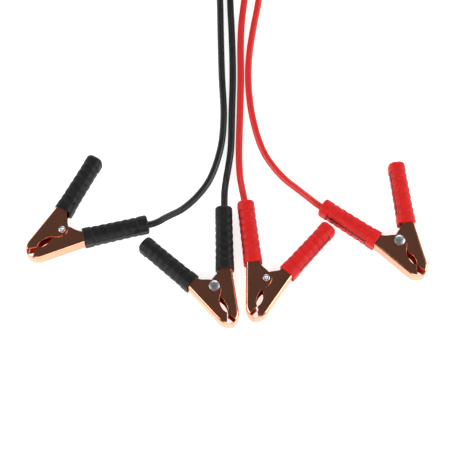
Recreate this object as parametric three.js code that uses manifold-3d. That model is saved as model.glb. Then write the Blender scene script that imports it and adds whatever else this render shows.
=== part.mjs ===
// Car jumper cable set: a black lead and a red lead, each with a crocodile clamp at both ends.
// Millimetres, +Z up. The clamps lie on their sides on the floor, at z = 0.
// A clamp's own frame has its rivet at the origin, +X to the tail and +Y to the left half.

import * as THREE from 'three';
import { mergeVertices } from 'three/addons/utils/BufferGeometryUtils.js';
import Module from 'manifold-3d';

const wasm = await Module();
wasm.setup();

const { degToRad } = THREE.MathUtils;

// Fit
const clearance = 0.3;

// Jaw stamping, a channel that runs on as the handle
const sheet = 1.0;
const channelHeight = 17.0;
const bendRadius = 2.6;
const noseReach = 42.5;
const noseFlat = 1.5;
const noseBend = 33;
const noseShoulder = 39.5;
const jawHalfWidth = 20.9;
const jawTaper = degToRad(16.5);
const earRadius = 5.2;
const mouthHalfWidth = 3.6;
const mouthStart = 12.2;
const pinchReach = 30.6;
const notchAngle = degToRad(27.6);
const toothCount = 4;
const toothDepth = 2.0;

// Handle and its grip
const kinkReach = 9.0;
const gripStart = 1.0;
const handleAngle = degToRad(23.9);
const handleLength = 54;
const handleOuter = 7.15;
const handleOuterEnd = 5.6;
const handleInner = 5.0;
const gripLength = 65.8;
const gripWidth = 18.6;
const gripTailWidth = 17.0;
const gripHeight = 21.2;
const gripEdge = 4.6;
const gripTailRadius = 5.5;
const gripCollar = 9.5;
const ribCount = 6;
const ribPitch = 7.6;
const ribDepth = 0.9;
const ribSlot = 1.8;

// Rivet and spring
const rivetRadius = 2.5;
const rivetHeadRadius = 5.2;
const rivetClinchRadius = 3.6;
const rivetProud = 1.05;
const springWire = 2.0;
const springRadius = 4.5;
const springTurns = 4;
const springHeight = 11.0;
const springLegStart = 3;
const springLegEnd = 9;

// Cable
const cableRadius = 3.5;
const cableOffset = 0.7;
const cableSides = 10;
const cableStep = 15.2;
const coilRadius = 36;
const coilTurnsWide = 3;
const coilTurnsHigh = 2;
const tieThickness = 1.2;
const tieWidth = 8;

// Derived heights. The two halves interleave, so one sits a sheet and a clearance above the other.
const halfShift = (sheet + clearance) / 2;
const midHeight = gripHeight / 2;
const stackHeight = channelHeight + 2 * halfShift;
const cableDiameter = 2 * cableRadius;

// Each cable end's route, from inside its grip, out at the tail by the third point, down to the
// floor and up to the coil of its lead. The rest of the cable is in the coil.
const routes = {
  black_a: [
    [-97.3, 12.2, 10.6], [-87.7, 14.5, 10.6], [-78.07, 16.79, 10.6], [-74.6, 17.6, 10.6],
    [-68.4, 20.2, 10.1], [-61.6, 24.8, 8.9], [-53.6, 29.8, 7.0], [-45.0, 35.3, 5.2], [-31.0, 48.5, 3.8],
    [-17.2, 68.2, 3.6], [-6.2, 102.4, 3.6], [-2.9, 136.9, 3.6], [-4.8, 185.4, 3.6],
    [-6.1, 237.4, 3.6], [-6.5, 261.9, 3.8], [-7.0, 278.4, 5.2], [-10.8, 291.9, 7.6],
    [-23.8, 304.2, 11.2],
  ],
  black_b: [
    [-1.8, 14.4, 10.6], [-2.0, 24.3, 10.6], [-2.18, 34.21, 10.6], [-2.2, 43.2, 10.2],
    [-1.9, 53.2, 8.7], [-0.3, 67.9, 5.6], [2.2, 83.9, 3.9], [4.4, 102.4, 3.6],
    [5.5, 139.9, 3.6], [6.5, 185.4, 3.6], [5.7, 227.9, 3.6], [4.1, 267.9, 3.7],
    [3.6, 289.9, 4.4], [3.5, 307.9, 5.0], [3.5, 324.9, 5.0],
  ],
  red_a: [
    [20.5, 20.7, 10.6], [19.4, 30.5, 10.6], [18.25, 40.37, 10.6], [17.1, 48.4, 10.1],
    [15.6, 56.9, 8.6], [13.8, 69.9, 5.6], [13.0, 84.9, 3.9], [12.8, 101.4, 3.6],
    [14.1, 149.9, 3.6], [14.8, 185.4, 3.6], [14.7, 216.4, 3.6], [15.8, 244.9, 3.6],
    [18.8, 272.4, 3.8], [20.4, 291.9, 4.5], [20.7, 307.9, 5.0], [20.7, 324.9, 5.0],
  ],
  red_b: [
    [111.6, 24.4, 10.6], [103.4, 30.0, 10.6], [95.28, 35.63, 10.6], [88.4, 41.0, 10.1],
    [82.0, 47.1, 8.7], [70.5, 58.2, 5.6], [59.0, 68.8, 3.9], [47.2, 83.1, 3.6],
    [36.5, 101.9, 3.6], [27.2, 134.9, 3.6], [22.8, 172.9, 3.6], [23.5, 205.9, 3.6],
    [28.2, 239.9, 3.6], [32.4, 262.9, 3.8], [34.5, 279.9, 5.4], [38.4, 292.4, 7.7],
    [49.6, 303.4, 11.2],
  ],
};

// Each clamp: the heading of its tail, the side of its cable half and whether the rivet's domed
// head is up. It lies where the tail of its cable grip meets the cable's route.
const clamps = [
  { name: 'black_a', colour: 'black', heading: 37.3, cableSide: -1, headUp: false },
  { name: 'black_b', colour: 'black', heading: 115.0, cableSide: -1, headUp: true },
  { name: 'red_a', colour: 'red', heading: 72.6, cableSide: 1, headUp: false },
  { name: 'red_b', colour: 'red', heading: 121.5, cableSide: 1, headUp: true },
];

// Each lead's coil: its centre on the floor and the heading of its tie
const coils = {
  black: { at: [-39.5, 349.9], tieHeading: 90 },
  red: { at: [63.7, 349.9], tieHeading: 90 },
};

const finish = {
  copper: new THREE.MeshStandardMaterial({ color: 0xc46a4a, roughness: 0.28, metalness: 1.0 }),
  steel: new THREE.MeshStandardMaterial({ color: 0xc9ccd1, roughness: 0.3, metalness: 1.0 }),
  black: new THREE.MeshStandardMaterial({ color: 0x141416, roughness: 0.55, metalness: 0.0 }),
  red: new THREE.MeshStandardMaterial({ color: 0xcc1a1e, roughness: 0.5, metalness: 0.0 }),
};

const set = new THREE.Group();
set.name = 'jumper_cable_set';

// Solids

function toSolid(geometry) {
  const bare = geometry.index ? geometry.clone() : geometry;
  bare.deleteAttribute('normal');
  bare.deleteAttribute('uv');
  const merged = mergeVertices(bare, 1e-4);
  return new wasm.Manifold(new wasm.Mesh({
    numProp: 3,
    vertProperties: new Float32Array(merged.attributes.position.array),
    triVerts: new Uint32Array(merged.index.array),
  }));
}

function toGeometry(solid) {
  const mesh = solid.getMesh();
  const geometry = new THREE.BufferGeometry();
  geometry.setAttribute('position', new THREE.BufferAttribute(mesh.vertProperties, 3));
  geometry.setIndex(new THREE.BufferAttribute(mesh.triVerts, 1));
  geometry.computeVertexNormals();
  return geometry;
}

function cut(base, ...tools) {
  return tools.reduce((solid, tool) => solid.subtract(tool), base);
}

// A prism of the given outline, centred on z = 0, its long edges rounded off by the radius.
function prism(points, height, radius = 0, segments = 2) {
  const geometry = new THREE.ExtrudeGeometry(new THREE.Shape(points), {
    depth: height - 2 * radius,
    steps: 1,
    curveSegments: 12,
    bevelEnabled: radius > 0,
    bevelThickness: radius,
    bevelSize: radius,
    bevelOffset: -radius,
    bevelSegments: segments,
  });
  geometry.translate(0, 0, radius - height / 2);
  return geometry;
}

function cylinder(radius, height, sides) {
  const geometry = new THREE.CylinderGeometry(radius, radius, height, sides);
  geometry.rotateX(Math.PI / 2);
  return geometry;
}

// The same outline moved inwards by a distance, corner by corner. It runs anticlockwise.
function inset(points, distance) {
  return points.map((point, i) => {
    const before = points[(i + points.length - 1) % points.length];
    const after = points[(i + 1) % points.length];
    const a = point.clone().sub(before).normalize();
    const b = after.clone().sub(point).normalize();
    const normal = new THREE.Vector2(-a.y - b.y, a.x + b.x).normalize();
    const spread = Math.sqrt((1 + a.dot(b)) / 2);
    return point.clone().addScaledVector(normal, distance / spread);
  });
}

function curve(from, control, to, steps) {
  return new THREE.QuadraticBezierCurve(from, control, to).getPoints(steps);
}

// Places in a clamp's plane

const v2 = (x, y) => new THREE.Vector2(x, y);

const outerLine = (x) => jawHalfWidth + x * Math.tan(jawTaper);

// Where the jaw's outer line turns outwards into the handle's
const kink = v2(kinkReach, outerLine(kinkReach));

// A point of the left handle: along from the grip's mouth, and out from the grip's axis. The
// axis runs a fixed depth inside the kink.
function onHandle(along, out) {
  const c = Math.cos(handleAngle);
  const s = Math.sin(handleAngle);
  const a = along + gripStart;
  const o = out - handleOuter;
  return v2(kink.x + a * c - o * s, kink.y + a * s + o * c);
}

// The handle's web tapers in from the kink to its end.
function handleOuterAt(along) {
  const share = (along + gripStart) / (handleLength + gripStart);
  return handleOuter + (handleOuterEnd - handleOuter) * share;
}

// Jaw half, left one, centred on its own channel

function channelOutline(end) {
  const past = -2.5 * earRadius;
  const nose = curve(
    v2(-noseReach, noseFlat),
    v2(-noseShoulder, outerLine(-noseShoulder)),
    v2(-noseBend, outerLine(-noseBend)),
    6,
  );
  return [v2(-noseReach, past), v2(earRadius, past), onHandle(end, -3 * handleInner),
    onHandle(end, handleOuterAt(end)), kink, ...nose.reverse()];
}

function flangeOutline() {
  const far = 2 * jawHalfWidth;
  const low = -toothDepth;
  const ear = new THREE.EllipseCurve(0, 0, earRadius, earRadius, degToRad(10), degToRad(-125), true);
  const mouth = new THREE.CatmullRomCurve3([
    new THREE.Vector3(-mouthStart + 3.3, -2.7, 0),
    new THREE.Vector3(-mouthStart, 0.5, 0),
    new THREE.Vector3(-mouthStart - 4.2, 0.75 * mouthHalfWidth, 0),
    new THREE.Vector3(-mouthStart - 8.9, mouthHalfWidth, 0),
    new THREE.Vector3(-pinchReach + 4.8, 0.86 * mouthHalfWidth, 0),
    new THREE.Vector3(-pinchReach + 1.6, 0.4 * mouthHalfWidth, 0),
    new THREE.Vector3(-pinchReach, clearance / 2, 0),
  ]);
  const root = curve(onHandle(0, -handleInner), v2(9.6, 8.4), v2(7.0, 0.9), 4);
  return [
    onHandle(handleLength, far),
    onHandle(handleLength, 2 - handleInner),
    onHandle(handleLength - 2, -handleInner),
    ...root,
    ...ear.getPoints(9),
    ...mouth.getPoints(10).map((p) => v2(p.x, p.y)),
    v2(-pinchReach, low),
    v2(-noseReach - 1, low),
    v2(-noseReach - 1, far),
  ];
}

// The gap between the two noses: a zigzag that the other half's, turned over, runs along.
function toothGap() {
  const pitch = channelHeight / toothCount;
  const reach = toothCount + 2;
  const points = [];
  for (let i = -reach; i <= reach; i += 1) {
    const side = i % 2 === 0 ? 0 : (Math.abs(i) % 4 === 1 ? 1 : -1) * Math.sign(i);
    points.push(v2(i * pitch / 2, clearance / 2 + side * toothDepth / 2));
  }
  const bottom = -2 * toothDepth - clearance;
  const edge = [v2(-reach * pitch / 2, bottom), v2(reach * pitch / 2, bottom), ...points.reverse()];
  const geometry = prism(edge, noseReach - pinchReach + sheet);
  // The outline's own x becomes -z here, its y stays, and its depth runs along the jaw.
  geometry.rotateY(Math.PI / 2);
  geometry.translate(-(noseReach + pinchReach + sheet) / 2, 0, -halfShift);
  return geometry;
}

function jawHalf() {
  const outline = channelOutline(handleLength + 1);
  const inner = inset(channelOutline(handleLength + 12), sheet);
  const tall = 2 * channelHeight;
  const shell = cut(
    toSolid(prism(outline, channelHeight, bendRadius)),
    toSolid(prism(inner, channelHeight - 2 * sheet, bendRadius - sheet)),
  );
  const run = noseReach - pinchReach + 2;
  const notch = toSolid(prism([
    v2(-pinchReach, clearance / 2 - toothDepth),
    v2(-pinchReach, clearance / 2),
    v2(-pinchReach - run, clearance / 2 + run * Math.tan(notchAngle)),
    v2(-pinchReach - run, clearance / 2 - toothDepth),
  ], tall)).intersect(toSolid(prism(inner, tall + 2)));
  return toGeometry(cut(
    shell.intersect(toSolid(prism(flangeOutline(), tall))),
    notch,
    toSolid(toothGap()),
    toSolid(cylinder(rivetRadius + clearance, tall, 20)),
  ));
}

// Grip, left one: a flat-sided sleeve with ribs on its narrow sides

const gripHalf = (along) => (gripWidth + (gripTailWidth - gripWidth) * along / gripLength) / 2;

function gripOutline() {
  const edge = [[0, 0], [gripLength - gripTailRadius, 0]];
  for (const angle of [30, 60]) {
    const a = degToRad(angle);
    edge.push([gripLength - gripTailRadius * (1 - Math.sin(a)), gripTailRadius * (1 - Math.cos(a))]);
  }
  edge.push([gripLength, gripTailRadius]);
  const outer = edge.map(([along, deep]) => onHandle(along, gripHalf(along) - deep));
  const inner = edge.map(([along, deep]) => onHandle(along, deep - gripHalf(along)));
  return [...inner, ...outer.reverse()];
}

// The slots between the ribs: V grooves across both narrow sides
function ribSlots() {
  const slots = [];
  for (let i = 0; i <= ribCount; i += 1) {
    const start = gripCollar + i * ribPitch;
    const floor = gripHalf(start) - ribDepth;
    for (const side of [-1, 1]) {
      const points = [
        onHandle(start - ribSlot / 2, side * (floor + 2 * ribDepth)),
        onHandle(start + ribSlot / 2, side * floor),
        onHandle(start + 1.5 * ribSlot, side * (floor + 2 * ribDepth)),
      ];
      slots.push(toSolid(prism(side > 0 ? points : points.reverse(), 2 * gripHeight)));
    }
  }
  return slots;
}

function grip(hasCable) {
  const body = toSolid(prism(gripOutline(), gripHeight, gripEdge, 3));
  const inner = handleInner + clearance;
  const cavity = prism([
    onHandle(-5, -inner),
    onHandle(handleLength + clearance, -inner),
    onHandle(handleLength + clearance, handleOuterEnd + clearance),
    onHandle(0, handleOuter + clearance),
    onHandle(-5, handleOuter + clearance),
  ], channelHeight + 2 * clearance);
  cavity.translate(0, 0, halfShift);
  const mouthCut = prism([
    onHandle(-8, -gripWidth), onHandle(0, -gripWidth), onHandle(0, gripWidth), onHandle(-8, gripWidth),
  ], 2 * gripHeight);
  const tools = [toSolid(cavity), toSolid(mouthCut), ...ribSlots()];
  if (hasCable) {
    const hole = new THREE.CylinderGeometry(cableRadius + clearance, cableRadius + clearance, 40, 20);
    hole.rotateZ(handleAngle - Math.PI / 2);
    const at = onHandle(gripLength, cableOffset);
    hole.translate(at.x, at.y, 0);
    tools.push(toSolid(hole));
  }
  return toGeometry(cut(body, ...tools));
}

// Rivet: shank, domed head at +z, clinched end with its dimple at -z

function rivet() {
  const end = stackHeight / 2 + clearance;
  const points = [
    [0, -end - 0.3 * rivetProud], [1.1, -end - 0.3 * rivetProud],
    [rivetClinchRadius - 1.2, -end - rivetProud], [rivetClinchRadius, -end - 0.4 * rivetProud],
    [rivetClinchRadius, -end], [rivetRadius, -end], [rivetRadius, end], [rivetHeadRadius, end],
    [rivetHeadRadius - 1.2, end + 0.8 * rivetProud], [0, end + rivetProud],
  ];
  const geometry = new THREE.LatheGeometry(points.map(([x, y]) => v2(x, y)), 16);
  geometry.rotateX(Math.PI / 2);
  return geometry;
}

// Torsion spring: turns round the rivet, and a leg that runs tangent to each handle's web

function spring() {
  const rest = (along) => onHandle(along, handleOuterAt(along) - sheet - clearance - springWire / 2);
  const start = rest(springLegStart);
  const end = rest(springLegEnd);
  const leave = Math.atan2(start.y, start.x) - Math.acos(springRadius / start.length());
  const sweep = 2 * Math.PI * springTurns + 2 * leave;
  const steps = springTurns * 8;
  const low = -springHeight / 2;
  const points = [
    new THREE.Vector3(end.x, -end.y, low),
    new THREE.Vector3(start.x, -start.y, low),
  ];
  for (let i = 0; i <= steps; i += 1) {
    const a = -leave + sweep * i / steps;
    const z = springHeight * (i / steps - 0.5);
    points.push(new THREE.Vector3(springRadius * Math.cos(a), springRadius * Math.sin(a), z));
  }
  points.push(new THREE.Vector3(start.x, start.y, -low));
  points.push(new THREE.Vector3(end.x, end.y, -low));
  const path = new THREE.CatmullRomCurve3(points, false, 'catmullrom', 0);
  return sweepTube(path, springWire / 2, 6, steps + 6);
}

// A tube along a path, in so many steps
function sweepTube(path, radius, sides, steps) {
  const section = new THREE.Shape();
  for (let i = 0; i < sides; i += 1) {
    const a = 2 * Math.PI * i / sides;
    if (i === 0) section.moveTo(radius * Math.cos(a), radius * Math.sin(a));
    else section.lineTo(radius * Math.cos(a), radius * Math.sin(a));
  }
  section.closePath();
  return new THREE.ExtrudeGeometry(section, {
    steps,
    extrudePath: path,
    bevelEnabled: false,
  });
}

// Cable: a plain tube along a route

function cable(route) {
  const points = route.map(([x, y, z]) => new THREE.Vector3(x, y, z));
  const path = new THREE.CatmullRomCurve3(points, false, 'centripetal');
  return sweepTube(path, cableRadius, cableSides, Math.round(path.getLength() / cableStep));
}

// Coil: one ring with the outline of its turns, which lie a cable apart beside and on each other

const coilBottom = tieThickness + clearance;
const coilHalfWidth = coilTurnsWide * cableRadius;
const coilHeight = coilTurnsHigh * cableDiameter;

function coil() {
  const r0 = coilRadius - coilHalfWidth;
  const r1 = coilRadius + coilHalfWidth;
  const z0 = coilBottom;
  const z1 = coilBottom + coilHeight;
  const c = cableRadius / 2;
  const profile = [[r0, z0 + c], [r0 + c, z0], [r1 - c, z0], [r1, z0 + c], [r1, z1 - c],
    [r1 - c, z1], [r0 + c, z1], [r0, z1 - c], [r0, z0 + c]];
  const geometry = new THREE.LatheGeometry(profile.map(([x, y]) => v2(x, y)), 36);
  geometry.rotateX(Math.PI / 2);
  return geometry;
}

// Tie: a strap once round the coil's section. Inside the ring it stands off by two clearances,
// because the ring curves away from it there.
function tie(heading) {
  const shape = new THREE.Shape();
  const hole = new THREE.Path();
  const low = coilRadius - coilHalfWidth - 2 * clearance;
  const high = coilRadius + coilHalfWidth + clearance;
  const top = coilBottom + coilHeight + clearance;
  roundedRectangle(shape, low - tieThickness, 0, high + tieThickness, top + tieThickness, cableRadius / 2);
  roundedRectangle(hole, low, tieThickness, high, top, cableRadius / 8);
  shape.holes.push(hole);
  const geometry = new THREE.ExtrudeGeometry(shape, {
    depth: tieWidth, steps: 1, curveSegments: 2, bevelEnabled: false,
  });
  geometry.translate(0, 0, -tieWidth / 2);
  geometry.rotateX(Math.PI / 2);
  geometry.rotateZ(degToRad(heading));
  return geometry;
}

function roundedRectangle(path, x0, y0, x1, y1, r) {
  path.moveTo(x0 + r, y0);
  path.lineTo(x1 - r, y0);
  path.absarc(x1 - r, y0 + r, r, -Math.PI / 2, 0, false);
  path.absarc(x1 - r, y1 - r, r, 0, Math.PI / 2, false);
  path.absarc(x0 + r, y1 - r, r, Math.PI / 2, Math.PI, false);
  path.absarc(x0 + r, y0 + r, r, Math.PI, 1.5 * Math.PI, false);
}

function add(parent, name, geometry, material) {
  const mesh = new THREE.Mesh(geometry, material);
  mesh.name = name;
  parent.add(mesh);
  return mesh;
}

const half = jawHalf();
const cableGrip = grip(true);
const freeGrip = grip(false);
const rivetShape = rivet();
const springShape = spring();

for (const clamp of clamps) {
  const group = new THREE.Group();
  const [exitX, exitY] = routes[clamp.name][2];
  const tail = onHandle(gripLength, cableOffset);
  tail.y *= clamp.cableSide;
  tail.rotateAround(v2(0, 0), degToRad(clamp.heading));
  group.position.set(exitX - tail.x, exitY - tail.y, midHeight);
  group.rotation.z = degToRad(clamp.heading);
  for (const [kind, side] of [['cable', clamp.cableSide], ['free', -clamp.cableSide]]) {
    // The right half is the left one turned over about the clamp's long axis.
    const turned = new THREE.Group();
    turned.rotation.x = side > 0 ? 0 : Math.PI;
    group.add(turned);
    const jaw = add(turned, `${clamp.name}_${kind}_jaw`, half, finish.copper);
    jaw.position.z = halfShift;
    add(turned, `${clamp.name}_${kind}_grip`, kind === 'cable' ? cableGrip : freeGrip, finish[clamp.colour]);
  }
  const pin = add(group, `${clamp.name}_rivet`, rivetShape, finish.steel);
  pin.rotation.x = clamp.headUp ? 0 : Math.PI;
  add(group, `${clamp.name}_spring`, springShape, finish.steel);
  set.add(group);
}

for (const [name, route] of Object.entries(routes)) {
  add(set, `${name}_cable`, cable(route), finish[name.split('_')[0]]);
}

for (const [colour, place] of Object.entries(coils)) {
  const group = new THREE.Group();
  group.position.set(place.at[0], place.at[1], 0);
  add(group, `${colour}_coil`, coil(), finish[colour]);
  add(group, `${colour}_tie`, tie(place.tieHeading), finish.black);
  set.add(group);
}

export default set;
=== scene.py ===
"""Looks of the car jumper cable set.

It has copper clamps, ribbed sleeves, rivets, springs and two coiled leads.

Lengths are in millimetres, as in the part's source, until a mesh is made. A clamp's own frame has
its rivet at the origin, X to the tail, Y to the left half and Z up.
"""

import math

import bpy
import numpy as np
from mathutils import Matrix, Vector


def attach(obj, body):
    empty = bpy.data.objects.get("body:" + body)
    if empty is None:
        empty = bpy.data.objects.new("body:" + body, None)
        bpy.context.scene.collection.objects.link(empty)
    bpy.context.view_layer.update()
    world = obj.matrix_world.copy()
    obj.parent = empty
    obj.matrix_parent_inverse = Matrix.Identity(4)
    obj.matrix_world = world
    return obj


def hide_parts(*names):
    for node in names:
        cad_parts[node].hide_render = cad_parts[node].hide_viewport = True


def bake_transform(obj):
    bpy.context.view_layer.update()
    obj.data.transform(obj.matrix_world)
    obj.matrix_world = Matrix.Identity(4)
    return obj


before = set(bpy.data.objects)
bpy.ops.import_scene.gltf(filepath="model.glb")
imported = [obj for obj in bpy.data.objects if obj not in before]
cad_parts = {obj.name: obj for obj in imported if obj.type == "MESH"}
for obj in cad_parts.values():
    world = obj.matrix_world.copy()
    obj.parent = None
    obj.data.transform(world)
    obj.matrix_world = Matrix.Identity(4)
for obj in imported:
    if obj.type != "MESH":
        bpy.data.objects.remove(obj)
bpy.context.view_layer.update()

MM = 0.001

# Camera
look_at = (-1.5, 20.7, 0.0)
camera_elevation = math.radians(69)
camera_distance = 1880
camera_lens = 149.8

# Glow of the floor and of the room, and the floor's half side in metres
floor_glow = 0.7
world_glow = 0.078
floor_half = 4

# Fit and jaw stamping
clearance = 0.3
sheet = 1.0
channel_height = 17.0
bend_radius = 2.6
nose_reach = 42.5
nose_flat = 1.5
nose_bend = 33.0
nose_shoulder = 39.5
jaw_half_width = 20.9
jaw_taper = math.radians(16.5)
pinch_reach = 30.6
notch_slope = math.tan(math.radians(27.6))
tooth_pitch = channel_height / 4
tooth_depth = 2.0
edge_round = 0.18
# Free edge in own points: the handle's root, round the rivet's ear, and along the mouth
free_edge = [
    (11.4, 8.6), (8.5, 2.6), (4.5, -3.3), (0.3, -5.6), (-4.6, -5.2), (-8.9, -2.9), (-12.2, 0.0),
    (-16.4, 2.1), (-21.1, 3.0), (-25.8, 2.6), (-29.0, 1.25),
]
ear_first, ear_last = free_edge[2], free_edge[4]

# Handle and its sleeve
kink_reach = 9.0
grip_start = 1.0
handle_angle = math.radians(23.9)
handle_length = 54.0
handle_outer = 7.15
handle_outer_end = 5.6
handle_inner = 5.0
grip_length = 65.8
grip_width = 18.6
grip_tail_width = 17.0
grip_height = 21.2
collar = 9.5
rib_count = 6
rib_pitch = 7.6
rib_depth = 1.0
sleeve_round = 7.2
pad_half_height = 5.2
pad_fullness = 0.7
broad_rib_share = 0.42
slot_width = 0.55
groove_width = 1.2
groove_depth = 0.85
cavity_round = 2.2
lip_round = 0.45
cable_tail_round = 2.4
free_tail_round = 3.8
least_tail_round = 2.2
hole_gap = 0.25

# Rivet and spring
rivet_radius = 2.5
rivet_head_radius = 5.2
rivet_clinch_radius = 3.4
rivet_proud = 1.05
dome_power = 2.6
spring_wire = 2.0
spring_radius = 4.5
spring_turns = 4
spring_height = 11.0
spring_leg_start = 3.0
spring_leg_end = 9.0

# Leads
cable_radius = 3.5
cable_diameter = 2 * cable_radius
cable_offset = 0.7
coil_radius = 36.0
coil_turns = 4.75
leaving_radius = 30.0
lead_step = 2.2
tie_thickness = 1.2

half_shift = (sheet + clearance) / 2
mid_height = grip_height / 2
stack_height = channel_height + 2 * half_shift
coil_bottom = tie_thickness + clearance

# Each cable end's route, from inside its grip to the coil of its lead, as in the part's source
routes = {
    "black_a": [
        (-97.3, 12.2, 10.6), (-87.7, 14.5, 10.6), (-78.07, 16.79, 10.6), (-74.6, 17.6, 10.6),
        (-68.4, 20.2, 10.1), (-61.6, 24.8, 8.9), (-53.6, 29.8, 7.0), (-45.0, 35.3, 5.2),
        (-31.0, 48.5, 3.8), (-17.2, 68.2, 3.6), (-6.2, 102.4, 3.6), (-2.9, 136.9, 3.6),
        (-4.8, 185.4, 3.6), (-6.1, 237.4, 3.6), (-6.5, 261.9, 3.8), (-7.0, 278.4, 5.2),
        (-10.8, 291.9, 7.6), (-23.8, 304.2, 11.2),
    ],
    "black_b": [
        (-1.8, 14.4, 10.6), (-2.0, 24.3, 10.6), (-2.18, 34.21, 10.6), (-2.2, 43.2, 10.2),
        (-1.9, 53.2, 8.7), (-0.3, 67.9, 5.6), (2.2, 83.9, 3.9), (4.4, 102.4, 3.6),
        (5.5, 139.9, 3.6), (6.5, 185.4, 3.6), (5.7, 227.9, 3.6), (4.1, 267.9, 3.7),
        (3.6, 289.9, 4.4), (3.5, 307.9, 5.0), (3.5, 324.9, 5.0),
    ],
    "red_a": [
        (20.5, 20.7, 10.6), (19.4, 30.5, 10.6), (18.25, 40.37, 10.6), (17.1, 48.4, 10.1),
        (15.6, 56.9, 8.6), (13.8, 69.9, 5.6), (13.0, 84.9, 3.9), (12.8, 101.4, 3.6),
        (14.1, 149.9, 3.6), (14.8, 185.4, 3.6), (14.7, 216.4, 3.6), (15.8, 244.9, 3.6),
        (18.8, 272.4, 3.8), (20.4, 291.9, 4.5), (20.7, 307.9, 5.0), (20.7, 324.9, 5.0),
    ],
    "red_b": [
        (111.6, 24.4, 10.6), (103.4, 30.0, 10.6), (95.28, 35.63, 10.6), (88.4, 41.0, 10.1),
        (82.0, 47.1, 8.7), (70.5, 58.2, 5.6), (59.0, 68.8, 3.9), (47.2, 83.1, 3.6),
        (36.5, 101.9, 3.6), (27.2, 134.9, 3.6), (22.8, 172.9, 3.6), (23.5, 205.9, 3.6),
        (28.2, 239.9, 3.6), (32.4, 262.9, 3.8), (34.5, 279.9, 5.4), (38.4, 292.4, 7.7),
        (49.6, 303.4, 11.2),
    ],
}

# Each clamp: heading of its tail, the side of its cable half, whether the rivet's head is up
clamps = {
    "black_a": (37.3, -1, False),
    "black_b": (115.0, -1, True),
    "red_a": (72.6, 1, False),
    "red_b": (121.5, 1, True),
}

# Each lead: the clamp whose cable enters its coil, the one whose cable leaves it, the side of the
# entering cable on which the coil lies, and the coil's centre
leads = {
    "black": ("black_b", "black_a", -1, (-39.5, 349.9)),
    "red": ("red_a", "red_b", 1, (63.7, 349.9)),
}


# Shader nodes


class Value:
    """A socket of a material. Python's operators on it each add one Math node."""

    def __init__(self, paint, socket):
        self.paint, self.socket = paint, socket

    def maths(self, operation, left, right):
        return self.paint.node("ShaderNodeMath", {"operation": operation}, {0: left, 1: right})

    def __add__(self, other):
        return self.maths("ADD", self, other)

    __radd__ = __add__

    def __mul__(self, other):
        return self.maths("MULTIPLY", self, other)

    __rmul__ = __mul__


class Paint:
    """A material round one Principled shader, and the one way its nodes are added."""

    def __init__(self, name, **plain):
        self.material = bpy.data.materials.new(name)
        self.material.use_nodes = True
        self.tree = self.material.node_tree
        self.shader = self.tree.nodes["Principled BSDF"]
        for socket, value in plain.items():
            self.shader.inputs[socket.replace("_", " ")].default_value = value

    def node(self, kind, settings, inputs, output=0):
        """Adds a node: its settings are set first, then its sockets get values or links."""
        node = self.tree.nodes.new(kind)
        for key, value in settings.items():
            setattr(node, key, value)
        for key, value in inputs.items():
            self.join(node.inputs[key], value)
        return Value(self, node.outputs[output])

    def join(self, socket, value):
        if isinstance(value, Value):
            self.tree.links.new(value.socket, socket)
        else:
            socket.default_value = value

    def feed(self, **inputs):
        for socket, value in inputs.items():
            self.join(self.shader.inputs[socket.replace("_", " ")], value)

    def own_place(self, stretch=(1, 1, 1)):
        """The point's place in its piece's own millimetres, stretched along its axes."""
        place = self.node("ShaderNodeAttribute", {"attribute_name": "own_place"}, {}, "Vector")
        if stretch == (1, 1, 1):
            return place
        return self.node("ShaderNodeVectorMath", {"operation": "MULTIPLY"}, {0: place, 1: stretch})

    def noise(self, place, size, detail=3.0, roughness=0.5):
        """Noise from 0 to 1 whose lumps are about so many millimetres across."""
        inputs = {"Vector": place, "Scale": 1 / size, "Detail": detail, "Roughness": roughness}
        return self.node("ShaderNodeTexNoise", {}, inputs)

    def ramp(self, value, low, high):
        """0 below low, 1 above high, smooth between."""
        settings = {"interpolation_type": "SMOOTHSTEP"}
        return self.node("ShaderNodeMapRange", settings, {0: value, 1: low, 2: high})

    def mix(self, share, first, second):
        """One colour fading into another."""
        return self.node("ShaderNodeMix", {"data_type": "RGBA"}, {0: share, 6: first, 7: second}, 2)

    def bump(self, height, distance, strength=1.0):
        """A normal from a height, so many millimetres from its lowest to its highest."""
        inputs = {"Height": height, "Distance": distance * MM, "Strength": strength}
        return self.node("ShaderNodeBump", {}, inputs)


# Finishes


def bright_copper():
    """Copper plate: drawing marks along the stamping, cloudy polish and a few warmer patches."""
    paint = Paint("bright_copper", Metallic=1.0)
    place = paint.own_place()
    cloud = paint.noise(place, 14, 4)
    marks = paint.noise(paint.own_place((0.06, 1.6, 1.6)), 1.2, 5, 0.65)
    paint.feed(
        Base_Color=paint.mix(cloud, (0.93, 0.396, 0.246, 1), (0.88, 0.334, 0.205, 1)),
        Roughness=0.15 + 0.1 * cloud + 0.05 * paint.ramp(marks, 0.5, 0.75),
        Normal=paint.bump(marks, 0.006, 0.2),
    )
    return paint.material


def bright_nickel():
    """Nickel plated rivet: turned bright, a little cloudy."""
    paint = Paint("bright_nickel", Metallic=1.0)
    cloud = paint.noise(paint.own_place(), 1.5, 4)
    paint.feed(
        Base_Color=paint.mix(cloud, (0.74, 0.77, 0.81, 1), (0.60, 0.64, 0.70, 1)),
        Roughness=0.26 + 0.14 * cloud,
        Normal=paint.bump(cloud, 0.03, 0.3),
    )
    return paint.material


def spring_wire_steel():
    """Oiled spring wire: darker than the rivet, drawn along its length."""
    paint = Paint("oiled_spring_wire", Metallic=1.0)
    cloud = paint.noise(paint.own_place(), 3, 4)
    paint.feed(
        Base_Color=paint.mix(cloud, (0.42, 0.42, 0.42, 1), (0.26, 0.25, 0.24, 1)),
        Roughness=0.28 + 0.2 * cloud,
    )
    return paint.material


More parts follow.
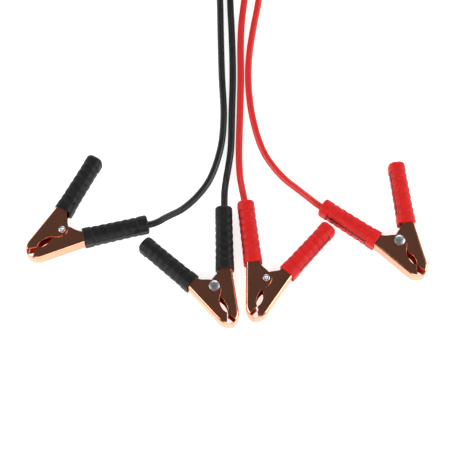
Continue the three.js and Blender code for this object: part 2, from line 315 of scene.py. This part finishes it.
def dipped_rubber(name, colour, worn, deep, gloss):
    """Soft moulded sleeve: a fine leathery grain, faint flow clouds, and painted shade in its
    grooves and slots.
    """
    paint = Paint(name, Specular_IOR_Level=0.28)
    painted_shade = paint.node("ShaderNodeAttribute", {"attribute_name": "painted_shade"}, {}, "Fac")
    place = paint.own_place()
    cloud = paint.noise(place, 9, 4)
    grain = paint.noise(place, 0.55, 3, 0.6)
    # Painted shade: in the grooves and slots the base colour fades to deep, the colour of that
    # shade; there the rubber is also rougher
    paint.feed(
        Base_Color=paint.mix(paint.ramp(painted_shade, 0.05, 0.6),
                             paint.mix(paint.ramp(cloud, 0.35, 0.75), colour, worn), deep),
        Roughness=gloss + 0.16 * cloud + 0.08 * grain + 0.2 * painted_shade,
        Normal=paint.bump(grain + 0.5 * paint.noise(place, 2.4, 2), 0.05, 0.55),
    )
    return paint.material


def cable_jacket(name, colour, worn, gloss):
    """Smooth extruded jacket: faint draw marks along it and a long slow waviness."""
    paint = Paint(name)
    place = paint.own_place((0.03, 1, 1))
    marks = paint.noise(place, 0.8, 4, 0.6)
    cloud = paint.noise(paint.own_place(), 12, 3)
    paint.feed(
        Base_Color=paint.mix(paint.ramp(cloud, 0.3, 0.8), colour, worn),
        Roughness=gloss + 0.12 * cloud + 0.06 * marks,
        Normal=paint.bump(marks + 0.6 * paint.noise(paint.own_place(), 5, 2), 0.06, 0.5),
    )
    return paint.material


def strap_cloth():
    """Hook and loop strap: crossed ribs of a tight weave under short fluff."""
    paint = Paint("strap_cloth", Sheen_Weight=0.4, Sheen_Roughness=0.5)
    weave = {"wave_type": "BANDS"}
    across = {"Scale": 0.9, "Distortion": 0.6, "Detail": 1.0}
    warp = paint.node("ShaderNodeTexWave", {**weave, "bands_direction": "X"},
                      {"Vector": paint.own_place(), **across})
    weft = paint.node("ShaderNodeTexWave", {**weave, "bands_direction": "Y"},
                      {"Vector": paint.own_place(), **across})
    fluff = paint.noise(paint.own_place(), 0.3, 4, 0.7)
    height = warp * weft + 0.5 * fluff
    paint.feed(
        Base_Color=paint.mix(fluff, (0.010, 0.010, 0.011, 1), (0.040, 0.040, 0.043, 1)),
        Roughness=0.78 + 0.15 * fluff,
        Normal=paint.bump(height, 0.15, 0.8),
    )
    return paint.material


def pale_floor():
    """Matt white table top with the faintest unevenness. Its own glow stands for bounced light."""
    paint = Paint("pale_floor", Emission_Color=(1, 1, 1, 1), Emission_Strength=floor_glow)
    place = paint.node("ShaderNodeTexCoord", {}, {}, "Object")
    cloud = paint.noise(place, 0.4, 2)
    paint.feed(
        Base_Color=paint.mix(cloud, (0.90, 0.90, 0.90, 1), (0.87, 0.87, 0.87, 1)),
        Roughness=0.7 + 0.1 * cloud,
    )
    return paint.material


# Meshes


def skin(points, around=False, flip=False):
    """Quads between neighbouring points of a grid. Around closes each row into a ring."""
    rows, columns = points.shape[:2]
    i = np.arange(rows - 1)[:, None] * columns
    j = np.arange(columns if around else columns - 1)[None, :]
    k = (j + 1) % columns
    corners = (i + j, i + k, i + columns + k, i + columns + j)
    quads = np.stack(np.broadcast_arrays(*corners), -1).reshape(-1, 4)
    return points.reshape(-1, 3), quads[:, ::-1] if flip else quads


def piece(name, skins, to_row, material, body, replaced, painted_shade=None, sharp=32):
    """A mesh of skins that are welded where they meet.

    A quad with two equal corners becomes a triangle, and one with fewer than three is dropped.
    """
    starts = np.cumsum([0] + [len(points) for points, _ in skins[:-1]])
    own = np.concatenate([points for points, _ in skins])
    quads = np.concatenate([quads + start for start, (_, quads) in zip(starts, skins)])
    _, first, same = np.unique(np.round(own / 1e-4).astype(np.int64), axis=0,
                               return_index=True, return_inverse=True)
    own, quads = own[first], same.reshape(-1)[quads]
    twin = quads == np.roll(quads, -1, axis=1)
    folded = (quads[:, 0] == quads[:, 2]) | (quads[:, 1] == quads[:, 3])
    full = quads[(twin.sum(1) == 0) & ~folded]
    thin = (twin.sum(1) == 1) & ~folded
    triangles = quads[thin][~twin[thin]].reshape(-1, 3)
    mesh = bpy.data.meshes.new(name)
    mesh.from_pydata((to_row(own) * MM).tolist(), [], full.tolist() + triangles.tolist())
    mesh.validate()
    place = mesh.attributes.new("own_place", "FLOAT_VECTOR", "POINT")
    place.data.foreach_set("vector", own.astype(np.float32).ravel())
    # The sleeves' painted shade in their grooves and slots, one value per point
    if painted_shade is not None:
        depth = mesh.attributes.new("painted_shade", "FLOAT", "POINT")
        depth.data.foreach_set("value", painted_shade.ravel()[first].astype(np.float32))
    mesh.shade_smooth()
    mesh.set_sharp_from_angle(angle=math.radians(sharp))
    mesh.materials.append(material)
    made = bpy.data.objects.new(name, mesh)
    bpy.context.scene.collection.objects.link(made)
    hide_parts(*replaced)
    if body:
        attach(made, body)
    return made


def smooth(t):
    t = np.clip(t, 0, 1)
    return t * t * (3 - 2 * t)


def spot(x, y, z):
    """Coordinates, spread over each other's shapes, as points."""
    return np.stack(np.broadcast_arrays(x, y, z), -1).astype(float)


def flat(x, y):
    return np.stack(np.broadcast_arrays(x, y), -1).astype(float)


def bow(start, control, end, t):
    """Quadratic curve: each end's weight falls with the square of the way left to the other."""
    t = np.asarray(t, float)[:, None]
    return (1 - t) ** 2 * start + 2 * t * (1 - t) * control + t ** 2 * end


def through(points, steps):
    """Centripetal Catmull-Rom curve through points: each span's parameter grows with the root of
    its length, and four neighbours are blended pair by pair (the Barry-Goldman pyramid)."""
    points = np.asarray(points, float)
    ends = (2 * points[:1] - points[1:2], points, 2 * points[-1:] - points[-2:-1])
    p = np.concatenate(ends)
    gap = np.maximum(np.linalg.norm(np.diff(p, axis=0), axis=1), 1e-6) ** 0.5
    knot = np.concatenate([[0], np.cumsum(gap)])
    t = np.linspace(knot[1], knot[-2], steps)
    i = np.clip(np.searchsorted(knot, t, "right") - 1, 1, len(p) - 3)

    def blend(a, b, low, high):
        share = ((t - low) / (high - low))[:, None]
        return a * (1 - share) + b * share

    k0, k1, k2, k3 = (knot[i + n] for n in (-1, 0, 1, 2))
    p0, p1, p2, p3 = (p[i + n] for n in (-1, 0, 1, 2))
    a1, a2, a3 = blend(p0, p1, k0, k1), blend(p1, p2, k1, k2), blend(p2, p3, k2, k3)
    b1, b2 = blend(a1, a2, k0, k2), blend(a2, a3, k1, k3)
    return blend(b1, b2, k1, k2)


def evenly(points, step):
    """The same line with points a step apart along it."""
    way = np.concatenate([[0], np.cumsum(np.linalg.norm(np.diff(points, axis=0), axis=1))])
    at = np.linspace(0, way[-1], int(round(way[-1] / step)) + 1)
    return np.stack([np.interp(at, way, points[:, axis]) for axis in range(3)], -1), at


def tube(centre, radius, sides):
    """Round tube along a line that never stands upright: at each point the ring is spanned by the
    level direction across the line and by the direction square to both. Both ends are closed."""
    along = np.gradient(centre, axis=0)
    along /= np.linalg.norm(along, axis=1, keepdims=True)
    across = np.cross(along, (0, 0, 1))
    across /= np.linalg.norm(across, axis=1, keepdims=True)
    above = np.cross(across, along)
    turn = np.linspace(0, 2 * np.pi, sides, endpoint=False)[None, :, None]
    ring = np.cos(turn) * across[:, None] + np.sin(turn) * above[:, None]
    rings = centre[:, None] + radius * ring
    caps = (centre[:1, None] + 0 * ring[:1], centre[-1:, None] + 0 * ring[-1:])
    return np.concatenate([caps[0], rings, caps[1]]), turn[0, :, 0]


# Places in a clamp's plane


def outer_line(x):
    return jaw_half_width + x * math.tan(jaw_taper)


kink = np.array([kink_reach, outer_line(kink_reach)])


def on_handle(along, out):
    """A point of the left handle: along from the grip's mouth and out from the grip's axis."""
    a, o = np.asarray(along) + grip_start, np.asarray(out) - handle_outer
    c, s = math.cos(handle_angle), math.sin(handle_angle)
    return flat(kink[0] + a * c - o * s, kink[1] + a * s + o * c)


def handle_outer_at(along):
    """The handle's web tapers evenly from the kink to its end."""
    share = (along + grip_start) / (handle_length + grip_start)
    return handle_outer + (handle_outer_end - handle_outer) * share


def clamp_place(name):
    """Maps a clamp's own points to the row: turned to its heading about Z, moved to its rivet.

    The rivet lies where the tail of the cable grip meets the cable's route."""
    heading, side, _ = clamps[name]
    c, s = math.cos(math.radians(heading)), math.sin(math.radians(heading))
    tail = on_handle(grip_length, cable_offset) * (1, side)
    at = np.array(routes[name][2][:2]) - (tail[0] * c - tail[1] * s, tail[0] * s + tail[1] * c)

    def to_row(points):
        x, y, z = points[:, 0], points[:, 1], points[:, 2]
        return spot(at[0] + x * c - y * s, at[1] + x * s + y * c, mid_height + z)

    return to_row


def turned_over(to_row, side):
    """The right half is the left one turned over about the clamp's long axis."""
    return to_row if side > 0 else lambda points: to_row(points * (1, -1, -1))


# Jaw stamping


def jaw_lines():
    """The stamping's outer bend line and the free edge of its flanges, as matching points.

    Both run from the handle's end over the kink to the nose. The free edge follows the handle,
    then one smooth curve round the rivet's ear and along the mouth, the pinch and the notch,
    which ends where it meets the web's inner face. From there the edge is that face, down to the
    teeth."""
    along = np.linspace(handle_length, 3, 18)
    step_in = np.maximum(0, along - (handle_length - 2))
    outer = [on_handle(along, handle_outer_at(along))]
    edge = [on_handle(along, step_in - handle_inner)]

    swing = through([on_handle(2.2, -handle_inner), on_handle(0, -handle_inner), *free_edge,
                     (-pinch_reach, clearance / 2)], 130)
    root_end = int(np.argmin(np.abs(swing - ear_first).sum(1)))
    ear_end = int(np.argmin(np.abs(swing - ear_last).sum(1)))
    beside_ear = np.array([ear_first[0], outer_line(ear_first[0])])
    t = np.linspace(0, 1, root_end + 1)
    outer.append(bow(outer[0][-1], kink, beside_ear, t)[1:])
    x = np.linspace(ear_first[0], swing[ear_end][0], ear_end - root_end + 1)
    x = np.concatenate([x[1:], swing[ear_end + 1:, 0]])
    outer.append(flat(x, outer_line(x)))
    edge.append(swing[1:])

    front = bow(np.array([-nose_bend, outer_line(-nose_bend)]),
                np.array([-nose_shoulder, outer_line(-nose_shoulder)]),
                np.array([-nose_reach, nose_flat]), np.linspace(0, 1, 121))
    tangent = np.gradient(front, axis=0)
    tangent /= np.linalg.norm(tangent, axis=1, keepdims=True)
    face = front + sheet * flat(-tangent[:, 1], tangent[:, 0])
    line = clearance / 2 + (-pinch_reach - face[:, 0]) * notch_slope
    meet = int(np.argmin(np.abs(face[:, 1] - line)))
    before = np.concatenate([flat(np.linspace(-pinch_reach, -nose_bend, 8)[1:],
                                  outer_line(np.linspace(-pinch_reach, -nose_bend, 8)[1:])),
                             front[4:meet + 1:4]])
    way = np.cumsum(np.linalg.norm(np.diff(before, axis=0), axis=1))
    share = np.concatenate([[0.08], 0.08 + 0.92 * way / way[-1]])[:, None]
    pinch = np.array([-pinch_reach, clearance / 2])
    outer.append(before)
    edge.append(pinch * (1 - share) + face[meet] * share)
    outer.append(front[meet + 3::3])
    edge.append(face[meet + 3::3])

    down = np.linspace(nose_flat, clearance / 2, 9)[1:]
    outer.append(flat(-nose_reach, down))
    edge.append(flat(sheet - nose_reach, down))
    return np.concatenate(outer), np.concatenate(edge)


def jaw_skins():
    """The left jaw and handle in one bent sheet, centred on its channel.

    At each point of the outer line a section runs in along the straight line to the free edge.
    Its outer face is the web, a quarter round of the bend radius and the flange. Its inner face is
    a sheet further in. Heights depend only on the depth square to the outer line, so the bend stays
    round where the section runs askew. The free edge is rounded, and at the nose the web's last
    rows end in teeth: a triangle wave of the height."""
    outer, edge = jaw_lines()
    along = np.gradient(outer, axis=0)
    along /= np.linalg.norm(along, axis=1, keepdims=True)
    inward = flat(-along[:, 1], along[:, 0])
    reach = edge - outer
    length = np.linalg.norm(reach, axis=1)
    ahead = reach / length[:, None]
    slant = (ahead * inward).sum(1)
    top = channel_height / 2
    low = top - bend_radius
    inner_bend = bend_radius - sheet
    ones = np.ones(len(outer))[:, None]
    web = np.linspace(0, low, 15)[None, :] * ones
    share = np.linspace(0, 1, 9)[None, 1:]
    flange_share = np.linspace(0, 1, 11)[None, 1:]
    corner = np.radians([30, 60, 90])[None, :]

    rim = length - edge_round
    turn = np.arccos(np.clip(1 - rim * slant / bend_radius, 0, 1))[:, None]
    bend_in = bend_radius * (1 - np.cos(turn * share)) / slant[:, None]
    bend_up = low + bend_radius * np.sin(turn * share)
    high = bend_up[:, -1:]
    flange = bend_in[:, -1:] + (rim[:, None] - bend_in[:, -1:]) * flange_share
    out_depth = [0 * web, bend_in, flange, rim[:, None] + edge_round * np.sin(corner)]
    out_height = [web, bend_up, high + 0 * flange, high - edge_round * (1 - np.cos(corner))]

    first = sheet / slant
    inner_rim = np.maximum(rim, first)
    turn = np.arccos(np.clip((bend_radius - inner_rim * slant) / inner_bend, 0, 1))[:, None]
    bend_in = (bend_radius - inner_bend * np.cos(turn * share)) / slant[:, None]
    bend_up = low + inner_bend * np.sin(turn * share)
    under = bend_up[:, -1:]
    flange = bend_in[:, -1:] + (inner_rim[:, None] - bend_in[:, -1:]) * flange_share
    rest = (length - inner_rim)[:, None]
    in_depth = [first[:, None] + 0 * web, bend_in, flange,
                inner_rim[:, None] + rest * np.sin(corner)]
    in_height = [web, bend_up, under + 0 * flange, under + edge_round * (1 - np.cos(corner))]

    middle = (high + under) / 2
    faces = []
    for depth, height in ((out_depth, out_height), (in_depth, in_height)):
        depth = np.concatenate([*depth, length[:, None]], 1)
        height = np.concatenate([*height, middle], 1)
        plan = outer[:, None] + depth[..., None] * ahead[:, None]
        upper = spot(plan[..., 0], plan[..., 1], height)
        lower = upper[:, :0:-1] * (1, 1, -1)
        faces.append(np.concatenate([lower, upper], 1))

    wave = tooth_depth / np.pi
    for face in faces:
        share = np.clip((nose_flat - face[-8:, :, 1]) / (nose_flat - clearance / 2), 0, 1)
        height = face[-8:, :, 2] + half_shift
        face[-8:, :, 1] -= share * wave * np.arcsin(np.sin(np.pi * height / tooth_pitch))
    for face in faces:
        face[..., 2] += half_shift
    ends = [np.stack([faces[0][i], faces[1][i]]) for i in (0, -1)]
    return [skin(faces[0], flip=True), skin(faces[1]), skin(ends[0]), skin(ends[1], flip=True)]


# Sleeve


def ring_columns():
    """Columns of a rounded rectangle: where each one's corner centre lies, from -1 to 1 of the
    straight half sides, and the direction in which the outline faces there."""
    tall, wide, corner = 26, 12, 9
    quarter = np.linspace(0, np.pi / 2, corner)
    steps = np.linspace(-1, 1, tall, endpoint=False)[1:]
    flats = np.linspace(1, -1, wide, endpoint=False)[1:]
    one_side = np.ones_like(steps)
    one_flat = np.ones_like(flats)
    one_turn = np.ones_like(quarter)
    x = [one_side, one_turn, flats, -one_turn, -one_side, -one_turn, -flats, one_turn]
    z = [steps, one_turn, one_flat, one_turn, -steps, -one_turn, -one_flat, -one_turn]
    face = [0 * steps, quarter, 0 * flats + np.pi / 2, quarter + np.pi / 2,
            0 * steps + np.pi, quarter + np.pi, 0 * flats + 1.5 * np.pi, quarter + 1.5 * np.pi]
    return np.concatenate(x), np.concatenate(z), np.concatenate(face)


def sleeve_skins(has_cable):
    """The left sleeve: one skin from the bottom of its cavity, out over the lip, along the outside
    and round the tail to its middle or, with a cable, into the cable's hole.

    A row is a rounded rectangle. Outside, between collar and tail, the narrow sides carry raised
    pads: the depth is a sine bow of the way between two slots, to the power of pad_fullness.
    Each pad is set off from the sleeve's corners by a groove, and the broad faces follow the bows
    with a share of that depth."""
    column_x, column_z, face = ring_columns()
    narrow = smooth(1.6 * np.cos(face) ** 2 - 0.25)
    rib_share = broad_rib_share + (1 - broad_rib_share) * narrow
    none = np.zeros(len(face))

    def row(along, centre, half_out, half_up, radius, shift=0.0, raised=0.0):
        x = column_x * (half_out - radius) + (radius + raised) * np.cos(face) + centre
        z = column_z * (half_up - radius) + (radius + raised) * np.sin(face) + shift
        plan = on_handle(along + 0 * x, x)
        return spot(plan[:, 0], plan[:, 1], z)

    rows = []
    inner = handle_inner + clearance
    deep = handle_length + clearance
    for along in (deep, deep - 0.01, 40.0, 20.0, 6.0, 2.0, lip_round):
        outer = handle_outer_at(along) + clearance
        size = 1e-3 if along == deep else 1.0
        rows.append(row(along, (outer - inner) / 2, size * (outer + inner) / 2,
                        size * (channel_height / 2 + clearance), size * cavity_round, half_shift))
    for turn in np.radians([25, 60, 90, 120, 155, 180]):
        away = 0.5 - 0.5 * math.cos(turn)
        outer = handle_outer + clearance
        rows.append(row(lip_round * (1 - math.sin(turn)), (1 - away) * (outer - inner) / 2,
                        (1 - away) * ((outer + inner) / 2 + 0.1) + away * grip_width / 2,
                        (1 - away) * (channel_height / 2 + clearance + 0.2) + away * mid_height,
                        cavity_round + away * (sleeve_round - cavity_round),
                        half_shift * (1 - away)))
    # Painted shade for each row: none in the cavity and over the lip
    painted_shades = [none] * len(rows)

    tail_radius = cable_tail_round if has_cable else free_tail_round
    start = grip_length - tail_radius
    way = np.linspace(0.6, start, 176)
    reach = grip_width / 2 + (grip_tail_width - grip_width) / 2 * way / grip_length
    phase = (way - collar) / rib_pitch
    ribbed = (phase > 0) & (phase < rib_count)
    bow_up = np.where(ribbed, np.sin(np.pi * (phase % 1)) ** pad_fullness, 1.0)
    slot_way = (phase - np.clip(np.round(phase), 0, rib_count)) * rib_pitch
    slot = np.exp(-(slot_way / slot_width) ** 2)
    bow_up = np.minimum(bow_up, 1 - slot)
    pad = np.where(ribbed, smooth((0.5 - np.abs(phase % 1 - 0.5)) / 0.12 - 0.6), 0.0)
    for along, out, bowed, groove, cut in zip(way, reach, bow_up, pad, slot):
        height = np.abs(column_z * (mid_height - sleeve_round) + sleeve_round * np.sin(face))
        beside = np.exp(-((height - pad_half_height) / groove_width) ** 2)
        beside = beside * (np.abs(np.cos(face)) > 0.5)
        outside = narrow * (height < pad_half_height + 1.5)
        lift = -rib_depth * (1 - bowed) * rib_share - groove_depth * groove * beside
        rows.append(row(along, 0.0, out, mid_height, sleeve_round, raised=lift))
        # Painted shade: dark in the grooves beside the pads and in the slots on the narrow sides, a
        # little in the slots elsewhere
        painted_shades.append(np.clip(groove * beside + cut * outside + 0.3 * cut, 0, 1))
    half = float(reach[-1])
    for turn in np.radians([12, 25, 38, 52, 66, 80, 90]):
        less = tail_radius * (1 - math.cos(turn))
        rows.append(row(start + tail_radius * math.sin(turn), 0.0, half - less, mid_height - less,
                        max(sleeve_round - less, least_tail_round)))
    rim = rows[-1]
    middle = np.append(on_handle(grip_length, cable_offset if has_cable else 0.0), 0.0)
    spoke = rim - middle
    far = np.linalg.norm(spoke, axis=1, keepdims=True)
    inwards = np.append(on_handle(-3.0, 0) - on_handle(0, 0), 0.0)
    if has_cable:
        hole = (cable_radius + hole_gap) * spoke / far
        rows += [middle + hole + (spoke - hole) * s for s in (0.7, 0.4, 0.12, 0.03)]
        rows += [middle + hole + inwards * d for d in (0.06, 0.5, 1.0)]
        rows.append(middle + inwards + 0 * spoke)
    else:
        rise = -inwards / 3
        rows += [middle + spoke * s + rise * 0.5 * (1 - s * s) for s in (0.8, 0.55, 0.3, 0.0)]
    painted_shades += [none] * (len(rows) - len(painted_shades))
    return [skin(np.stack(rows), around=True)], np.stack(painted_shades)


# Rivet and spring


def rivet_skins():
    """Turned about the axis: the clinched end with its dimple below, the shank, and the domed head
    above, whose height falls with the radius to the power of dome_power."""
    end = stack_height / 2 + clearance
    r = rivet_clinch_radius
    low = [(0, -0.1), (0.5, -0.12), (0.9, -0.25), (1.15, -0.5), (1.4, -0.78), (1.75, -0.93),
           (2.2, -0.98), (2.7, -0.92), (3.15, -0.72), (r - 0.1, -0.4), (r, -0.12),
           (r - 0.1, 0.0), (rivet_radius, 0.0)]
    bottom = [(radius, -end + height) for radius, height in low]
    head = np.linspace(1, 0, 12)
    dome = [(rivet_head_radius * s, end + 0.3 + (rivet_proud - 0.3) * (1 - s ** dome_power))
            for s in head]
    rim = [(rivet_radius, end), (rivet_head_radius - 0.15, end), (rivet_head_radius, end + 0.12)]
    profile = np.array(bottom + rim + dome)
    turn = np.linspace(0, 2 * np.pi, 48, endpoint=False)
    radius, height = profile[:, :1], profile[:, 1:]
    return [skin(spot(radius * np.cos(turn), radius * np.sin(turn), height), around=True)]


def spring_skins():
    """Torsion spring: a helix round the rivet that runs out, tangent, along each handle's web."""
    def rest(along):
        return on_handle(along, handle_outer_at(along) - sheet - clearance - spring_wire / 2)

    start, end = rest(spring_leg_start), rest(spring_leg_end)
    leave = math.atan2(start[1], start[0]) - math.acos(spring_radius / math.hypot(*start))
    sweep = 2 * math.pi * spring_turns + 2 * leave
    share = np.linspace(0, 1, spring_turns * 28 + 1)
    turn = sweep * share - leave
    height = spring_height / 2
    helix = spot(spring_radius * np.cos(turn), spring_radius * np.sin(turn),
                 spring_height * (share - 0.5))
    way = np.linspace(1, 0, 9)[:, None]
    leg = np.concatenate([start + (end - start) * way, helix[-1, :2] * (1 - way[1:])[:, :1]
                          + start * way[1:]])
    over = spot(leg[:-1, 0], leg[:-1, 1], height)
    under = spot(leg[:-1, 0], -leg[:-1, 1], -height)
    centre, _ = evenly(np.concatenate([under, helix, over[::-1]]), 0.9)
    rings, _ = tube(centre, spring_wire / 2, 14)
    return [skin(rings, around=True, flip=True)]


# Leads


def coil_line(side, centre):
    """The coil, from its entry at the bottom outside. The radius goes in by a cable for the second
    and the third turn, the third climbs on to the others, and the radius goes out again above.
    Each change is a smooth step over under half a turn, set so that turns never meet."""
    span = 0.4
    turns = np.linspace(0, coil_turns, int(coil_turns * 48) + 1)

    def step(at):
        return smooth((turns - at) / span + 0.5)

    radius = coil_radius + cable_diameter * (1 - step(0.8) - step(1.8) + step(3.3) + step(4.3))
    height = coil_bottom + cable_radius + cable_diameter * step(2.55)
    turn = 2 * np.pi * turns
    x = centre[0] - side * radius * np.cos(turn)
    return spot(x, centre[1] + radius * np.sin(turn), height)


def leaving_arc(side, centre, target):
    """From the coil's last point a straight and then a quarter turn down to the route that leaves,
    sinking smoothly."""
    x0, y0 = centre[0], centre[1] - coil_radius - cable_diameter
    turn = np.linspace(0, np.pi / 2, 12)
    end_x = target[0]
    mid_x = end_x + side * leaving_radius
    x = mid_x - side * leaving_radius * np.sin(turn)
    y = y0 - leaving_radius * (1 - np.cos(turn))
    top = coil_bottom + cable_radius + cable_diameter
    z = top + (target[2] - top) * smooth(turn / (np.pi / 2))
    run = np.linspace(0, 1, 4)[1:-1]
    return np.concatenate([spot(x0 + (mid_x - x0) * run, y0, top), spot(x, y, z)])


def lead(colour, material):
    """One lead from grip to grip: in along one route, round the coil, and out along the other."""
    enters, leaves, side, centre = leads[colour]
    inbound = np.array(routes[enters][1:])
    outbound = np.array(routes[leaves][1:])
    arc_end = outbound[outbound[:, 1] < centre[1] - coil_radius - cable_diameter - leaving_radius]
    points = np.concatenate([inbound, coil_line(side, centre),
                             leaving_arc(side, centre, outbound[len(arc_end)]), arc_end[::-1]])
    centre_line, way = evenly(through(points, 6000), lead_step)
    rings, turn = tube(centre_line, cable_radius, 28)
    own = spot(np.concatenate([way[:1], way, way[-1:]])[:, None], cable_radius * np.cos(turn),
               cable_radius * np.sin(turn))
    made = piece(f"{colour}_lead", [skin(rings, around=True, flip=True)], lambda p: p, material,
                 "leads",
                 [f"{enters}_cable", f"{leaves}_cable", f"{colour}_coil"])


# The scene

camera = bpy.data.objects.new("camera", bpy.data.cameras.new("camera"))
camera.data.lens = camera_lens
camera.data.sensor_width = 36
back = Vector((0, -math.cos(camera_elevation), math.sin(camera_elevation)))
camera.location = (Vector(look_at) + camera_distance * back) * MM
camera.rotation_mode = "QUATERNION"
camera.rotation_quaternion = (-back).to_track_quat("-Z", "Y")
bpy.context.scene.collection.objects.link(camera)
bpy.context.scene.camera = camera
bpy.context.scene.view_settings.view_transform = "Standard"

copper = bright_copper()
nickel = bright_nickel()
wire = spring_wire_steel()
cloth = strap_cloth()
# Each sleeve rubber: own colour, worn colour, deep colour of the painted shade in grooves and
# slots, gloss
rubber = {
    "black": dipped_rubber("black_sleeve_rubber", (0.0035, 0.0035, 0.004, 1),
                           (0.008, 0.008, 0.009, 1), (0.0005, 0.0005, 0.0005, 1), 0.40),
    "red": dipped_rubber("red_sleeve_rubber", (0.62, 0.009, 0.008, 1), (0.53, 0.006, 0.006, 1),
                         (0.10, 0.001, 0.002, 1), 0.38),
}
jacket = {
    "black": cable_jacket("black_cable_jacket", (0.004, 0.004, 0.004, 1),
                          (0.007, 0.007, 0.007, 1), 0.30),
    "red": cable_jacket("red_cable_jacket", (0.62, 0.012, 0.009, 1), (0.54, 0.009, 0.007, 1), 0.32),
}

for colour in leads:
    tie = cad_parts[f"{colour}_tie"]
    tie.data.materials.clear()
    tie.data.materials.append(cloth)
    # The strap cloth reads its weave from own_place, here the row's own millimetres
    corners = np.empty(3 * len(tie.data.vertices), np.float32)
    tie.data.vertices.foreach_get("co", corners)
    place = tie.data.attributes.new("own_place", "FLOAT_VECTOR", "POINT")
    place.data.foreach_set("vector", corners / MM)
    lead(colour, jacket[colour])

plate = jaw_skins()
sleeves = {"cable": sleeve_skins(True), "free": sleeve_skins(False)}
pin = rivet_skins()
coiled_wire = spring_skins()

for name, (heading, cable_side, head_up) in clamps.items():
    colour = name.split("_")[0]
    to_row = clamp_place(name)
    for kind, side in (("cable", cable_side), ("free", -cable_side)):
        body = "leads" if kind == "cable" else f"{name}_free_half"
        half = turned_over(to_row, side)
        piece(f"{name}_{kind}_plate", plate, half, copper, body,
              [f"{name}_{kind}_jaw"])
        sleeve, painted_shade = sleeves[kind]
        piece(f"{name}_{kind}_sleeve", sleeve, half, rubber[colour], body,
              [f"{name}_{kind}_grip"], painted_shade)
    piece(f"{name}_pin", pin, turned_over(to_row, 1 if head_up else -1), nickel, "leads",
          [f"{name}_rivet"])
    spring = piece(f"{name}_torsion_spring", coiled_wire, to_row, wire, None,
                   [f"{name}_spring"])
    near = to_row(np.array([[6.0, 6.0 * cable_side, 0.0]]))[0] * MM
    far = to_row(np.array([[6.0, -6.0 * cable_side, 0.0]]))[0] * MM
    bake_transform(spring)

floor_mesh = bpy.data.meshes.new("floor")
reach = floor_half
floor_mesh.from_pydata([(-reach, -reach, 0), (reach, -reach, 0), (reach, reach, 0),
                        (-reach, reach, 0)], [], [(0, 1, 2, 3)])
floor_mesh.materials.append(pale_floor())
floor = bpy.data.objects.new("floor", floor_mesh)
bpy.context.scene.collection.objects.link(floor)

# Soft boxes, all aimed at the clamps: place and side in metres, watts
lamp_aim = Vector((0, 0.05, 0))
softboxes = {
    "left": ((-1.5, -0.1, 0.95), 1.3, 25),
    "right": ((1.5, 0.0, 0.95), 1.3, 25),
    "front": ((0.0, -1.6, 0.9), 1.4, 18),
    "rear": ((0.1, 1.9, 0.75), 1.4, 18),
}
for name, (at, size, watts) in softboxes.items():
    lamp = bpy.data.objects.new(f"{name}_softbox", bpy.data.lights.new(name, "AREA"))
    lamp.data.size = size
    lamp.data.energy = watts
    lamp.location = at
    lamp.rotation_mode = "QUATERNION"
    lamp.rotation_quaternion = (lamp_aim - Vector(at)).to_track_quat("-Z", "Y")
    bpy.context.scene.collection.objects.link(lamp)

world = bpy.data.worlds.new("dim_studio")
world.use_nodes = True
world.node_tree.nodes["Background"].inputs["Color"].default_value = (1, 1, 1, 1)
world.node_tree.nodes["Background"].inputs["Strength"].default_value = world_glow
bpy.context.scene.world = world
